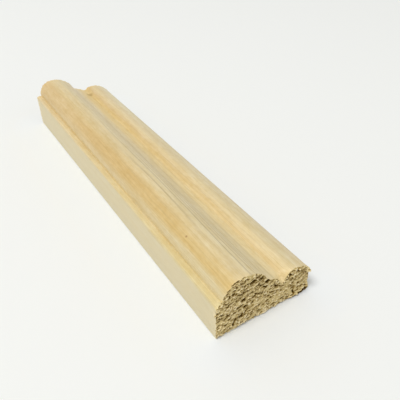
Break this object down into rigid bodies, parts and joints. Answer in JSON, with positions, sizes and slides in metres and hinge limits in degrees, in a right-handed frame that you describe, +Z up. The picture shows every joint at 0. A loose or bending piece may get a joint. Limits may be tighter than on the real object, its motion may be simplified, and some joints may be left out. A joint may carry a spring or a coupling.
{
  "type": "bolection moulding",
  "caption": "Short length of bare softwood bolection moulding with a large round, a sloping shelf, a shallow groove and a small bead on a flat back, used to frame a raised panel.",
  "frame": {"origin": "middle of the flat back face, which rests on the floor", "axes": "+X across the section from the thick edge to the thin edge, +Y along the grain, +Z up from the back"},
  "size_m": [0.0352, 0.15, 0.021],
  "materials": {
    "softwood": "bare planed softwood, matt, with rough sawn ends"
  },
  "bodies": {
    "root": {"bolection_moulding": "softwood"}
  },
  "joints": []
}
